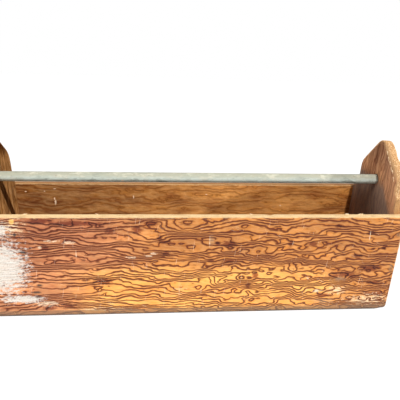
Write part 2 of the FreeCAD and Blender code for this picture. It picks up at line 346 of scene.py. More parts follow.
# %% [markdown]
# ## Varnished fir
# The wood between the rings isn't one colour. Broad clouds and narrow streaks of two
# tones lie under the lines, and fine threads of grain run over everything. The late
# wood is harder and stands a little proud once the soft wood has worn.

# %% The colour and the height of peeled fir
EARLY_WOOD = colour(255, 218, 160)
STREAK_SHADES = ((0.62, 0.56, 0.52, 1), (1.3, 1.28, 1.24, 1))
THREAD_SHADES = ((0.6, 0.55, 0.5, 1), (1.22, 1.2, 1.18, 1))


def peeled_fir(finish, along, across, seed, pale, deep, ring, line, **figure):
    """Peeled fir with a worn varnish: its colour and how high its grain stands."""
    late, early = ring_lines(finish, along, across, seed, **figure)
    broad = finish.grain(along, across, (150, 40), seed + 2, 4.0)
    streaks = finish.grain(along, across, (30, 5.5), seed + 4, 4.0, 0.7)
    threads = finish.grain(along, across, (26, 1.0), seed + 1, 3.0, 0.65)
    ground = finish.mix((broad * 0.7 + streaks * 0.3).eased(0.38, 0.62), pale, deep)
    ground = finish.mix(early * 0.16, ground, EARLY_WOOD)
    ground = finish.tint(0.5, ground, finish.mix(streaks.eased(0.25, 0.75), *STREAK_SHADES))
    wood = finish.mix(late * line, ground, ring)
    wood = finish.tint(0.6, wood, finish.mix(threads.eased(0.25, 0.75), *THREAD_SHADES))
    return wood, late * 0.6 + threads * 0.5


# %% [markdown]
# ## Where a point is on a board
# Wear follows edges, plies follow the thickness, and dirt gathers in corners together with painted
# shade, so each
# finish needs distances: from an edge, from a corner and into a board. The sides are
# plain. The ends lean, so their own upright and depth are turned by the lean first.

# %% Distances
TAN_LEAN = math.tan(LEAN)
COS_LEAN = math.cos(LEAN)
SIN_LEAN = math.sin(LEAN)
SLANT_BOARD = BOARD / COS_LEAN
OUT_OF_REACH = 0.1
print(f"a board cut level at the lean is {SLANT_BOARD * 1000:.2f} mm")


def past_inside(finish):
    """How far a point lies beyond the inside of the nearer end, along X."""
    return abs(finish.x) - FOOT_HALF - finish.z * TAN_LEAN


def side_edge(finish):
    """Distance from a side's nearest outer edge."""
    end = SLANT_BOARD - past_inside(finish)
    return finish.z.least(RIM - finish.z).least(end)


def inside_corner(finish):
    """Distance from the nearest inside corner of the box."""
    floor_gap = abs(finish.z - BOARD)
    side_gap = abs(abs(finish.y) - HALF_WIDTH) + finish.facing("Y") * OUT_OF_REACH
    end_gap = abs(past_inside(finish)) + finish.facing("X") * OUT_OF_REACH
    return floor_gap.least(side_gap).least(end_gap)


def end_depth(finish):
    """How deep a point is in a leaning end, from its inner face."""
    return past_inside(finish) * COS_LEAN


def end_upright(finish):
    """Distance up a leaning end, along its face."""
    return finish.z * COS_LEAN + (abs(finish.x) - FOOT_HALF) * SIN_LEAN


# %% [markdown]
# ## The outline of an end
# An end's outline is a few straight lines: below a shoulder the edge of the board,
# above it an upright neck and then a slope to the peak. The nearest line is taken.
# The gables were sawn by eye, so the two halves differ, and so do the shoulders.

# %% Distance from a gable
WIDE_HALF = {"neck": 0.104, "slope": 36.9}
NARROW_HALF = {"neck": 0.091, "slope": 41.7}
GABLE_TOP = 0.390
FRONT_SHOULDER = 0.276
REAR_SHOULDER = 0.264


def gable_edge(half, up, out):
    """Distance from the outline of one half of a gable."""
    slope = math.radians(half["slope"])
    sloping = (GABLE_TOP - up) * math.cos(slope) - out * math.sin(slope)
    return sloping.least(half["neck"] - out)


def end_edge(finish):
    """Distance from an end's free outline. Its wider half is where x and y differ in sign."""
    up = end_upright(finish)
    out = abs(finish.y)
    wider = (finish.x * finish.y * 1000).eased(0.001, -0.001)
    gable = gable_edge(WIDE_HALF, up, out) * wider + gable_edge(NARROW_HALF, up, out) * (1 - wider)
    rear = finish.y.eased(-0.001, 0.001)
    shoulder = rear * (REAR_SHOULDER - FRONT_SHOULDER) + FRONT_SHOULDER
    above = (up - shoulder).eased(-0.005, 0.005)
    return gable * above + (HALF_WIDTH - out) * (1 - above)


# %% [markdown]
# ## The edge of plywood
# On its edge a plywood board shows its layers. Every second one runs the other way:
# the long layers are pale with fine lines, and the cross layers show open end grain,
# which is darker and rougher. The glue between them is a thin dark line.

# %% Plies seen on an edge
PLIES = 5
GRUBBY = colour(196, 168, 140)


def ply_edges(finish, depth, along, seed, pale, deep):
    """The colour of a board's edge, and how open its grain is."""
    wander = finish.grain(along, depth, (90, 60), seed + 9) * 0.5
    layer = depth / (BOARD / PLIES) + wander
    across_grain = ((layer * 0.5).fraction() - 0.5).eased(-0.03, 0.03)
    joint = abs(layer.fraction() - 0.5).eased(0.43, 0.5)
    pores = finish.grain(along, depth, (1.7, 1.1), seed, 3.0, 0.7).eased(0.45, 0.7)
    lines = finish.grain(along, depth, (45, 0.6), seed + 3, 2.0).eased(0.4, 0.75)
    open_grain = pores * across_grain
    shade = lines * (1 - across_grain) * 0.3 + open_grain * 0.7 + joint * 0.45
    edge = finish.mix(shade, pale, deep)
    grubby = finish.grain(along, depth, (35, 14), seed + 5).eased(0.45, 0.75)
    edge = finish.tint(grubby * 0.5, edge, GRUBBY)
    return edge, 1 - open_grain - joint * 0.6


# %% [markdown]
# ## Dirt, corner shade and rust
# Three kinds of darkening come back on every board. The ground rubs grime into the feet,
# dust and grease gather in the inside corners together with painted shade, and each nail leaves a
# rusty ring.

# %% Soiled feet, dirty and shaded corners and rusty rings
GRIME = colour(78, 66, 56)
CORNER_DIRT_AND_SHADE = colour(110, 82, 64)
RUST_STAIN = colour(70, 48, 42)


def soiled(finish, wood, ragged, start, end, share):
    """Dark dirt from the ground in the lowest millimetres of a board."""
    low = 1 - (finish.z + (ragged - 0.5) * 0.006).eased(start, end)
    return finish.mix(low * share, wood, GRIME)


def dirt_and_shade_in_corners(finish, wood, *limits):
    """Darker wood close to the inside corners, within some limits: dirt and painted shade in one."""
    dirt_and_shade = 1 - inside_corner(finish).eased(0.0, 0.03)
    for limit in limits:
        dirt_and_shade = dirt_and_shade * limit
    return finish.tint(dirt_and_shade * 0.75, wood, CORNER_DIRT_AND_SHADE)


def rusty(finish, wood, ragged, nail_reach, share):
    """A dark ring round each nail, where its reach is below 1."""
    ring = 1 - (nail_reach + (ragged - 0.5) * 0.6).eased(0.45, 1.0)
    return finish.mix(ring * share, wood, RUST_STAIN)


# %% [markdown]
# ## Copies of the boards
# Each board piece starts as a copy of the board as it was cut, with its nail dents.
# The boards arrive as loose triangles, so the points that coincide are joined first.
# Cutting planes then add points where the wear will need them.

# %% Cut a copy of a board into small faces
SAME_PLACE = 1e-6


def board_copy(node):
    mesh = bmesh.new()
    mesh.from_mesh(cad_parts[node].data)
    bmesh.ops.remove_doubles(mesh, verts=mesh.verts, dist=SAME_PLACE)
    return mesh


def steps(low, high, gap):
    """Evenly spaced numbers from low to high, about a gap apart."""
    count = max(1, round((high - low) / gap))
    return [low + (high - low) * i / count for i in range(count + 1)]


def slice_board(mesh, axis, stations):
    """Add a loop of points where the board crosses each station along an axis."""
    normal = Vector((0, 0, 0))
    normal[axis] = 1
    for station in stations:
        whole = list(mesh.verts) + list(mesh.edges) + list(mesh.faces)
        bmesh.ops.bisect_plane(mesh, geom=whole, dist=SAME_PLACE,
                               plane_co=normal * station, plane_no=normal)


# %% [markdown]
# ## Rubbed and chipped edges
# No edge of an old box is dead straight. Where a free edge is still sharp, as on the
# gables, it is rubbed back by a smooth noise. The long edges of the sides came
# rounded, so there a few chips do the work. All of that wear goes into the wood, so a
# board never grows.

# %% Wear the edges
ARRIS = 0.15


def rub_edges(mesh, free, depth, seed):
    """Push the points on sharp, free arrises into the wood, by an uneven amount."""
    mesh.normal_update()
    arris = {point for edge in mesh.edges if edge.calc_face_angle(0) > ARRIS
             for point in edge.verts if free(point.co)}
    shift = Vector((seed, 0, 0))
    for point in arris:
        broad = noise.noise(point.co * 22 + shift)
        fine = noise.noise(point.co * 95 + shift)
        point.co -= point.normal * depth * max(0.0, 0.4 + 0.9 * broad + 0.6 * fine)
    return len(arris)


def chip(mesh, middle, radius, depth, inward):
    """Knock a shallow flake out round a point on an arris."""
    middle = Vector(middle)
    inward = Vector(inward).normalized()
    for point in mesh.verts:
        reach = (point.co - middle).length / radius
        if reach < 1:
            rough = 0.75 + 0.5 * noise.noise(point.co * 160)
            point.co += inward * depth * (1 - reach * reach) * rough


def wear_board(node, cuts, free, depth, seed, chips):
    """A worn copy of a board. Its cuts are pairs of an axis and its stations."""
    mesh = board_copy(node)
    for axis, stations in cuts:
        slice_board(mesh, axis, stations)
    count = rub_edges(mesh, free, depth, seed)
    for middle, radius, flake, inward in chips:
        chip(mesh, middle, radius, flake, inward)
    print(f"{node}: {count} points rubbed back, {len(chips)} chips")
    return mesh


# %% [markdown]
# ## From a worn copy to a piece
# The outer face of a board has seen more than its inner face, so a board takes two
# materials, one for each half of its thickness. Edges that turn by more than a set
# angle stay sharp and the rest are shaded smooth. The piece then stands in for the
# board that it was copied from.

# %% Make the pieces
SHARP = math.radians(32)
INNER_SHARE = 0.4


def new_object(name, mesh, materials):
    """Put a bmesh into the scene as an object."""
    data = bpy.data.meshes.new(name)
    mesh.to_mesh(data)
    mesh.free()
    for material in materials:
        data.materials.append(material)
    made = bpy.data.objects.new(name, data)
    bpy.context.scene.collection.objects.link(made)
    return made


def out_in_board(node, place):
    """True in the part of a board's thickness that is towards the outside."""
    if node.endswith("side"):
        depth = abs(place.y) - HALF_WIDTH
    else:
        depth = abs(place.x) - FOOT_HALF - place.z * TAN_LEAN
    return depth > BOARD * INNER_SHARE


def finish_board(mesh, name, node, materials):
    """Make a piece of a board. Its materials are for its outer part and its inner part."""
    mesh.normal_update()
    for face in mesh.faces:
        face.material_index = 0 if out_in_board(node, face.calc_center_median()) else 1
        face.smooth = True
    for edge in mesh.edges:
        edge.smooth = edge.calc_face_angle(math.pi) < SHARP
    piece = new_object(name, mesh, materials)
    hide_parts(node)
    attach(piece, "box")
    print(f"{name}: {len(piece.data.polygons)} faces")


# %% [markdown]
# ## The marks on the front
# The front has seen the most light and the most knocks. Its marks are the ovals that
# follow: middle along, middle up, half length and half height, in millimetres.

# %% Places of the marks
EYES = ((-31, 208, 46, 15), (246, 81, 24, 12), (-110, 160, 44, 12), (336, 83, 24, 13))
STAINS = ((-264, 221, 73, 8), (-336, 226, 35, 7), (-188, 204, 13, 11),
          (-131, 206, 14, 10), (-102, 221, 20, 8), (-84, 186, 7, 13),
          (-74, 178, 20, 6), (-70, 149, 13, 7), (74, 172, 20, 11), (45, 174, 8, 6),
          (32, 133, 10, 4), (73, 131, 28, 6), (134, 93, 8, 11), (120, 69, 8, 8),
          (210, 172, 7, 13), (262, 170, 13, 8), (318, 214, 11, 6), (431, 162, 7, 8),
          (369, 141, 17, 6), (-206, 84, 27, 10), (-327, 20, 18, 7),
          (-284, 23, 20, 8), (415, 71, 29, 6), (426, 42, 38, 7),
          (-327, 164, 11, 10), (395, 197, 13, 6),
          (345, 92, 44, 11), (405, 108, 34, 10), (300, 40, 28, 7))
BLACK_MARKS = ((-386, 196, 3.5, 5.5), (-372, 155, 10, 3.5), (-344, 76, 8, 4),
               (-352, 59, 12, 3.5), (-348, 48, 10, 3), (-1, 10, 3, 4))
BARE = ((-416, 118, 52, 66), (-384, 42, 48, 10), (-434, 204, 40, 18))
CREAM = ((-402, 212, 40, 22), (410, 24, 56, 18), (330, 52, 30, 12), (-200, 14, 60, 6))
SCRAPES = ((-312, 181, 16, 3), (-277, 177, 14, 4), (-337, 166, 5, 3),
           (-146, 141, 13, 2.5), (-106, 144, 9, 2.5), (-96, 150, 9, 2.5), (284, 51, 12, 4),
           (258, 85, 5, 3), (-330, 30, 26, 7))
FINE_CUTS = ((-38, 55, 1.1, 17), (-38, 62, 16, 0.9), (-38, 50, 16, 0.9), (27, 180, 0.9, 16),
             (-262, 150, 1.0, 12), (392, 190, 1.0, 14))
GREYED = ((300, 24, 40, 9), (456, 108, 7, 14), (336, 83, 16, 8), (31, 180, 9, 14))
YELLOW_SPOT = ((-390, 225, 5.5, 6.5),)
CURLY = ((170, 90, 330, 130),)
print(f"front: {len(STAINS)} stains, {len(SCRAPES)} scrapes, {len(BLACK_MARKS)} black marks")

# %% [markdown]
# ## The varnish of the front
# The varnish is golden low down, browner above, rosy to the left and nearly violet at
# the top left. Each of these is a soft region, and the growth rings curl most in the
# golden one.

# %% Golden, rosy and violet fir
BROWN_FIR = (colour(208, 132, 54), colour(168, 99, 36))
ROSY_FIR = (colour(216, 139, 88), colour(176, 105, 64))
GOLDEN_FIR = (colour(255, 184, 90), colour(232, 150, 64))
FRONT_RING = colour(92, 36, 16)
VIOLET = colour(204, 184, 190)


def front_varnish(finish, rough):
    x, z = finish.x, finish.z
    warm = ((z + rough * 0.03).eased(0.150, 0.100)
            * (abs(x - 0.04) + rough * 0.1).eased(0.42, 0.26))
    curl = (1.3 - oval_reach((x, z), CURLY)).eased(0.0, 0.9) * 4
    rosy = (x + rough * 0.1).eased(0.0, -0.2)
    tones = [finish.mix(warm, finish.mix(rosy, brown, red), gold)
             for brown, red, gold in zip(BROWN_FIR, ROSY_FIR, GOLDEN_FIR)]
    wood, height = peeled_fir(finish, x, z, 3, *tones, FRONT_RING, line=0.94,
                              curl=curl, eyes=EYES)
    upper_left = ((x + 0.16 + rough * 0.1).eased(0.06, -0.08)
                  * (z + rough * 0.02).eased(0.17, 0.215))
    far_left = (x + 0.27 + rough * 0.12).eased(0.05, -0.06) * z.eased(0.07, 0.14)
    violet = upper_left.most(far_left)
    return finish.tint(violet * 0.6, wood, VIOLET), height


# %% [markdown]
# ## Stains and bare patches of the front
# Stains darken the varnish and leave the rings visible, so they multiply its colour.
# Where the varnish is rubbed thin the soft wood between the rings turns cream first,
# and at the left end the whole face is rubbed down to whitish, speckled wood.

# %% Stained and rubbed fir
OLD_STAIN = colour(152, 106, 98)
WEATHERED = colour(158, 142, 116)
CREAMY_FIR = colour(236, 212, 172)
WHITISH_FIR = (colour(220, 216, 207), colour(186, 162, 140))
SPECK = colour(120, 98, 84)


def front_stained(finish, wood, rough, dapple):
    flat = (finish.x, finish.z)
    stains = ovals(flat, rough * 0.5 + dapple * 0.5, STAINS, 1.7, 0.8)
    wood = finish.tint(stains * 0.9, wood, OLD_STAIN)
    greyed = ovals(flat, dapple, GREYED, 1.6, 1.2)
    return finish.mix(greyed * 0.35, wood, WEATHERED)


def front_rubbed(finish, wood, height, rough, dapple, streaks):
    flat = (finish.x, finish.z)
    between_rings = height.eased(0.7, 0.45)
    cream = ovals(flat, dapple, CREAM, 2.0, 0.9) * streaks.eased(0.34, 0.54) * between_rings
    wood = finish.mix(cream * 0.8, wood, CREAMY_FIR)
    bare = ovals(flat, dapple * 0.8 + rough * 0.2, BARE, 1.9, 0.6)
    specks = finish.grain(*flat, (3.4, 2.6), 41, 4.0, 0.75).eased(0.53, 0.66)
    bare_wood = finish.mix(streaks.eased(0.35, 0.7) * 0.45, *WHITISH_FIR)
    bare_wood = finish.mix(specks * 0.7, bare_wood, SPECK)
    return finish.mix(bare * 0.9, wood, bare_wood), cream, bare


# %% [markdown]
# ## Scrapes and the foot of the front
# Scrapes tear slivers of the varnish off along the grain, and thin scratches and cuts
# cross it. The foot stands on the ground, so it is greyed, with a dark seam above it.

# %% Scraped and dirty fir
SLIVER = colour(246, 222, 190)
GREY_FOOT = colour(116, 92, 72)
SEAM = colour(84, 52, 40)


def front_scraped(finish, wood, rough, dapple):
    x, z = finish.x, finish.z
    slivers = finish.grain(x, z, (16, 1.6), 47, 3.0, 0.7).eased(0.42, 0.56)
    scraped = ovals((x, z), dapple, SCRAPES, 1.8, 0.9) * slivers * 1.5
    scraped = scraped.most(scratches(finish, z, x, 51, 0.15, 0.5))
    scraped = scraped.most(scratches(finish, x, z, 61, -0.5, 0.54))
    scraped = scraped.most(ovals((x, z), rough, FINE_CUTS, 1.4, 1.0) * 0.9)
    return finish.mix(scraped.least(1.0) * 0.75, wood, SLIVER), scraped


def front_foot(finish, wood, rough, streaks):
    z = finish.z
    foot = (z + rough * 0.006).eased(0.018, 0.014)
    wood = finish.mix(foot * 0.68, wood, GREY_FOOT)
    from_seam = abs(z + rough * 0.004 - 0.0185) * 1000
    seam = (1 - from_seam.eased(0.3, 1.6)) * streaks.eased(0.3, 0.5)
    return finish.mix(seam * 0.6, wood, SEAM), foot


# %% [markdown]
# ## The whole front
# The layers are laid in the order in which they came: varnish, stains, rubbing,
# scrapes, spots and last the dirt of the foot. A face gives back its colour, the
# height of its grain and how worn it is, because worn wood is duller and flatter.

# %% The face of the front
YELLOW = colour(250, 192, 104)
TAR = colour(44, 40, 42)


def front_face(finish):
    x, z = finish.x, finish.z
    rough = finish.grain(x, z, (24, 8), 31, 4.0, 0.7)
    dapple = finish.grain(x, z, (9, 6), 33, 5.0, 0.75)
    streaks = finish.grain(x, z, (34, 3.5), 43, 4.0, 0.7)
    wood, height = front_varnish(finish, rough)
    wood = front_stained(finish, wood, rough, dapple)
    wood, cream, bare = front_rubbed(finish, wood, height, rough, dapple, streaks)
    wood, scraped = front_scraped(finish, wood, rough, dapple)
    spot = ovals((x, z), rough, YELLOW_SPOT, 0.3)
    wood = finish.mix(spot * 0.7, wood, YELLOW)
    marks = ovals((x, z), dapple, BLACK_MARKS, 0.9, 0.8)
    wood = finish.mix(marks * 0.85, wood, TAR)
    wood, foot = front_foot(finish, wood, rough, streaks)
    worn = bare.most(cream * 0.8).most(scraped).most(foot * 0.6)
    return wood, height - worn * 0.25, worn


# %% [markdown]
# ## The outside of the rear
# The rear has the same wood with plainer wear: dark patches, worn patches and
# scratches, wherever a noise puts them.

# %% The face of the rear
REAR_FIR = (colour(222, 150, 84), colour(182, 114, 62), colour(106, 54, 28))
DARK_PATCH = colour(96, 54, 48)
WORN_PALE = colour(240, 220, 194)
SCRATCH = colour(244, 226, 200)


def rear_outside(finish):
    x, z = finish.x, finish.z
    rough = finish.grain(x, z, (24, 8), 131, 4.0, 0.7)
    wood, height = peeled_fir(finish, x, z, 103, *REAR_FIR, line=0.8)
    patches = finish.grain(x, z, (90, 35), 135, 3.0)
    wood = finish.mix(patches.eased(0.58, 0.72) * 0.6, wood, DARK_PATCH)
    worn = (finish.grain(x, z, (120, 50), 137, 4.0, 0.65).eased(0.6, 0.68)
            * rough.eased(0.4, 0.6))
    wood = finish.mix(worn * 0.7, wood, WORN_PALE)
    scraped = scratches(finish, x, z, 151, 0.6, 0.5)
    scraped = scraped.most(scratches(finish, x, z, 161, -0.8, 0.52))
    wood = finish.mix(scraped * 0.7, wood, SCRATCH)
    return wood, height, worn.most(scraped)


# %% [markdown]
# ## The inside of the sides
# Inside, the varnish is even and the rings are faint and far apart. Tools have
# flecked it with small pale chips, and dust lies on it near the bottom. The rear is
# browner and darker towards the left.

# %% The inner faces of the sides
LIGHT_REAR = (colour(236, 160, 78), colour(194, 124, 56))
DARK_REAR = (colour(144, 88, 28), colour(116, 64, 20))
REAR_RING = colour(104, 54, 26)
INNER_FRONT = (colour(190, 130, 76), colour(150, 98, 56), colour(104, 58, 32))
SHADOWY = colour(176, 140, 120)
DUST = colour(134, 112, 88)
FLECK = colour(244, 214, 180)
REAR_FLECKS = ((-353, 184, 2.8, 7), (-355, 194, 2, 3), (-427, 213, 3, 1.5),
               (-379, 214, 2.5, 1.5), (-353, 221, 5, 1.4), (-150, 199, 1.6, 5),
               (44, 207, 3, 1.4), (250, 176, 3, 1.5))
FRONT_FLECKS = ((-210, 180, 5, 3), (250, 120, 4, 6))


def side_inside(finish, seed, fir, flecks):
    x, z = finish.x, finish.z
    rough = finish.grain(x, z, (14, 7), seed + 31, 4.0, 0.7)
    wood, height = peeled_fir(finish, x, z, seed, *fir, line=0.36, reach=(200, 40),
                              rings=6.0, drift=50.0, width=1.1)
    shadowy = finish.grain(x, z, (80, 22), seed + 33, 3.0)
    wood = finish.tint(shadowy.eased(0.45, 0.7) * 0.6, wood, SHADOWY)
    dusty = (z - BOARD).eased(0.09, 0.0)
    wood = finish.mix(dusty * 0.35, wood, DUST)
    chips = ovals((x, z), rough, flecks, 1.1, 0.8)
    wood = finish.mix(chips * 0.85, wood, FLECK)
    return wood, height * 0.5, chips


def rear_inside(finish):
    left = (finish.x + 0.1).eased(0.35, -0.35)
    tones = [finish.mix(left, light, dark) for light, dark in zip(LIGHT_REAR, DARK_REAR)]
    return side_inside(finish, 201, (*tones, REAR_RING), REAR_FLECKS)


def front_inside(finish):
    return side_inside(finish, 261, INNER_FRONT, FRONT_FLECKS)


# %% [markdown]
# ## A side, all round
# A side has two materials: one for its outer face and one for its inner face. Both
# show the plies where the surface turns away, so they meet on the edge without a
# join. Each rubs the arrises pale. The outer one adds grime at the foot and a rusty
# ring round each nail, and the inner one adds the dirt and painted shade of the corners.

# %% The finish of a side
PALE_RIM = (colour(228, 196, 146), colour(174, 128, 84))
# The rear's plies are painted darker than the front's on all its edges: painted shade, for the
# shadow on the rear rim below the pipe.
REAR_RIM_SHADE = (colour(160, 114, 66), colour(118, 78, 44))
RUBBED_FIR = colour(240, 204, 152)


def outside_nails(finish):
    """Distance to the nearest nail of a side, as a share of its stain."""
    corner = FOOT_HALF + SLANT_BOARD / 2
    places = [(1000 * corner + up * TAN_LEAN, up, 9, 9) for up in (20, 106, 192)]
    places += [(along, 9.5, 8, 8) for along in (0, 200, 400)]
    return oval_reach((abs(finish.x), finish.z), places)


def side_finish(name, seed, face, outer, rim):
    """The finish of one face of a side, and of the edges beside it."""
    finish = Finish(name)
    x, y, z = finish.x, finish.y, finish.z
    facing_out, facing_end = finish.facing("Y"), finish.facing("X")
    wood, face_height, face_worn = face(finish)
    plies, ply_height = ply_edges(finish, abs(y) - HALF_WIDTH,
                                  x * (1 - facing_end) + z * facing_end, seed, *rim)
    wood = finish.mix(facing_out, plies, wood)
    ragged = finish.grain(x, z + y, (12, 12), seed + 1, 3.0, 0.7)
    rubbed = 1 - (side_edge(finish) + (ragged - 0.5) * 0.006).eased(0.0005, 0.0035)
    rubbed = rubbed * facing_out * z.eased(0.05, 0.2)
    wood = finish.mix(rubbed * 0.6, wood, RUBBED_FIR)
    if outer:
        wood = soiled(finish, wood, ragged, 0.001, 0.007, 0.85)
        wood = rusty(finish, wood, ragged, outside_nails(finish), 0.2)
    else:
        # Dirt and painted shade in the inside corners.
        wood = dirt_and_shade_in_corners(finish, wood, z.eased(0.2, 0.08))
    worn = face_worn.most(rubbed).most(1 - facing_out)
    height = finish.between(facing_out, ply_height, face_height)
    knocks = finish.grain(x, z, (30, 16), seed + 5, 3.0)
    normal = finish.bump(knocks, 0.0025, finish.bump(height, 0.0007))
    polish = 0.46 if outer else 0.58
    return finish.surface(Base_Color=wood, Normal=normal, Specular_IOR_Level=0.25,
                          Roughness=polish + worn * 0.3 + (ragged - 0.5) * 0.2)


# %% [markdown]
# ## Wear and finish the sides
# A side is free along its rim, its foot and its slanting ends. Cuts close to these
# edges and every 9 mm along the board give the chips enough points to bend. A chip
# has a middle, a radius, a depth and the way into the wood.

# %% The front board and the rear board
SIDE_CUTS = ((0, steps(-0.468, 0.468, 0.009)),
             (2, (0.004, 0.008, RIM - 0.009, RIM - 0.005, RIM - 0.0025)))
FRONT_CHIPS = (((-0.386, -OUTSIDE, RIM), 0.010, 0.003, (0, 0.6, -1)),
               ((0.330, -OUTSIDE, RIM), 0.012, 0.0025, (0, 0.7, -1)),
               ((0.160, -HALF_WIDTH, RIM), 0.009, 0.0022, (0, -0.5, -1)),
               ((-0.120, -OUTSIDE, RIM), 0.008, 0.0022, (0, 1, -0.6)),
               ((0.452, -OUTSIDE, 0.002), 0.016, 0.003, (-0.4, 0.7, 0.6)),
               ((0.462, -OUTSIDE, 0.100), 0.012, 0.0022, (-0.7, 0.7, 0)))
REAR_CHIPS = (((-0.300, HALF_WIDTH, RIM), 0.010, 0.0025, (0, 0.6, -1)),
              ((0.100, HALF_WIDTH, RIM), 0.009, 0.0022, (0, 0.5, -1)),
              ((0.472, OUTSIDE, 0.060), 0.012, 0.003, (-0.7, -0.7, 0)),
              ((-0.240, OUTSIDE, 0.001), 0.014, 0.003, (0, -0.7, 0.7)))


def free_of_side(place):
    """True near the rim, the foot and the slanting ends of a side."""
    end = FOOT_HALF + SLANT_BOARD + place.z * TAN_LEAN - abs(place.x)
    return RIM - place.z < 0.004 or place.z < 0.003 or end < 0.003


for side, seed, outside, inside, rim, wear_seed, chips in (
        ("front", 370, front_face, front_inside, PALE_RIM, 3, FRONT_CHIPS),
        ("rear", 470, rear_outside, rear_inside, REAR_RIM_SHADE, 8, REAR_CHIPS)):
    firs = (side_finish(f"{side}_fir_outside", seed, outside, True, rim),
            side_finish(f"{side}_fir_inside", seed, inside, False, rim))
    worn = wear_board(f"{side}_side", SIDE_CUTS, free_of_side, 0.0005, wear_seed, chips)
    finish_board(worn, f"{side}_board", f"{side}_side", firs)

# %% [markdown]
# ## The inside of the ends
# The grain of the ends stands upright. The right one is rosy, with its front part painted lighter as
# painted light, above a grey zone of painted shade that climbs to the front. The left one is browner
# and darker. Both are greasy round the pipe, where hands have been.

# %% The inner faces of the ends
LEFT_FIR = (colour(152, 100, 48), colour(110, 68, 30), colour(76, 40, 14))
LEFT_TOP = colour(124, 102, 76)
RIGHT_FIR = (colour(212, 152, 110), colour(170, 114, 84), colour(106, 60, 40))
RIGHT_TOP = colour(222, 224, 232)
BROWN_PATCH = colour(150, 128, 112)
PAINTED_ROSY_LIGHT = colour(236, 180, 140)
PAINTED_SHADE_GREY = colour(118, 106, 98)
GREASE = colour(80, 56, 46)


# The fourth argument is the share of the painted light and the painted shade on an end: none on the
# left, 0.7 on the right.
def end_inside(finish, seed, fir, light_and_shade_share, top):
    y = finish.y
    up = end_upright(finish)
    rough = finish.grain(up, y, (24, 8), seed + 31, 4.0, 0.7)
    wood, height = peeled_fir(finish, up, y, seed, *fir, line=0.5, reach=(120, 22),
                              rings=4.0, drift=90.0, width=1.0)
    patches = finish.grain(up, y, (70, 26), seed + 35, 3.0)
    wood = finish.tint(patches.eased(0.45, 0.68) * 0.55, wood, BROWN_PATCH)
    # Painted light: the front part of the right end is painted lighter and rosier.
    painted_lighter_front = (y * 1000).eased(-10, -60) * light_and_shade_share
    wood = finish.mix(painted_lighter_front * 0.35, wood, PAINTED_ROSY_LIGHT)
    # Painted shade: grey over the lower rear of the right end, up to a slanting line.
    shade_line = (y * 0.1 + 0.284).least(y * 1.06 + 0.325)
    below = (shade_line - up + (rough - 0.5) * 0.03).eased(-0.012, 0.012)
    wood = finish.mix(below * light_and_shade_share, wood, PAINTED_SHADE_GREY)
    wood = finish.tint(up.eased(0.305, 0.35), wood, top)
    greasy = ovals((y, up), rough, ((0, 1000 * PIPE_HEIGHT, 24, 30),), 0.5, 0.9)
    wood = finish.mix(greasy * 0.3, wood, GREASE)
    return wood, height


def left_inside(finish, seed):
    return end_inside(finish, seed, LEFT_FIR, 0.0, LEFT_TOP)


def right_inside(finish, seed):
    return end_inside(finish, seed, RIGHT_FIR, 0.7, RIGHT_TOP)


# %% [markdown]
# ## The outside of the ends
# The outer faces have the colour of the sides, a little duller, with dark patches and
# pale scuffs from being set down against things.

# %% The outer faces of the ends
OUTER_FIR = (colour(192, 130, 74), colour(150, 94, 50), colour(96, 52, 28))
DARK_END_PATCH = colour(92, 54, 48)


def end_outside(finish, seed):
    y = finish.y
    up = end_upright(finish)
    rough = finish.grain(up, y, (24, 8), seed + 31, 4.0, 0.7)
    wood, height = peeled_fir(finish, up, y, seed + 50, *OUTER_FIR, line=0.7)
    patches = finish.grain(up, y, (70, 26), seed + 35, 3.0)
    wood = finish.mix(patches.eased(0.6, 0.72) * 0.6, wood, DARK_END_PATCH)
    scuffed = (finish.grain(up, y, (60, 40), seed + 37, 4.0, 0.65).eased(0.58, 0.66)
               * rough.eased(0.42, 0.58))
    wood = finish.mix(scuffed * 0.7, wood, WORN_PALE)
    return wood, height


# %% [markdown]
# ## The sawn edge of a gable
# The gable is the part that hands and shoulders rub, so its edge is splintered above
# the rim: pale torn wood beside hollows, whose shade is painted dark. The splinters are a noise in
# space, not along the edge, so they run round the arris on to the face as bare wood. The front
# slope has lost the widest band.

# %% Splintered plies and bare arrises
GABLE_EDGE = (colour(196, 150, 102), colour(136, 88, 52))
TORN_FIR = colour(250, 222, 178)
HOLLOW_SHADE = colour(128, 82, 46)


def gable_plies(finish, up, depth, splinters, seed):
    """The colour and the height of an end's sawn edge."""
    plies, height = ply_edges(finish, depth, up + abs(finish.y), seed + 70, *GABLE_EDGE)
    above = up.eased(0.262, 0.275)
    plies = finish.mix(splinters.eased(0.5, 0.62) * above * 0.6, plies, TORN_FIR)
    # Painted shade in the hollows between the splinters.
    plies = finish.mix(splinters.eased(0.46, 0.36) * above * 0.6, plies, HOLLOW_SHADE)
    return plies, height


def rubbed_gable(finish, up, facing_out, splinters):
    """1 where the face beside the outline has lost its varnish."""
    band = finish.y.eased(0.03, -0.02) * 0.012 + 0.002
    rubbed = 1 - (end_edge(finish) + (splinters - 0.5) * 0.024).eased(0.0, band)
    return rubbed * facing_out * up.eased(0.236, 0.250)


# %% [markdown]
# ## An end, all round
# An end is finished as a side is, with one material for each face. It isn't glossy at
# all, because its inner faces are seen at a slant, where any gloss would turn to haze.

# %% The finish of an end
END_NAILS = ((0, 9.5, 8, 8), (80, 9.5, 8, 8))
BARE_FIR = colour(226, 180, 130)
DULL_FIR = colour(122, 80, 46)
PALE_SCRATCH = colour(228, 204, 176)


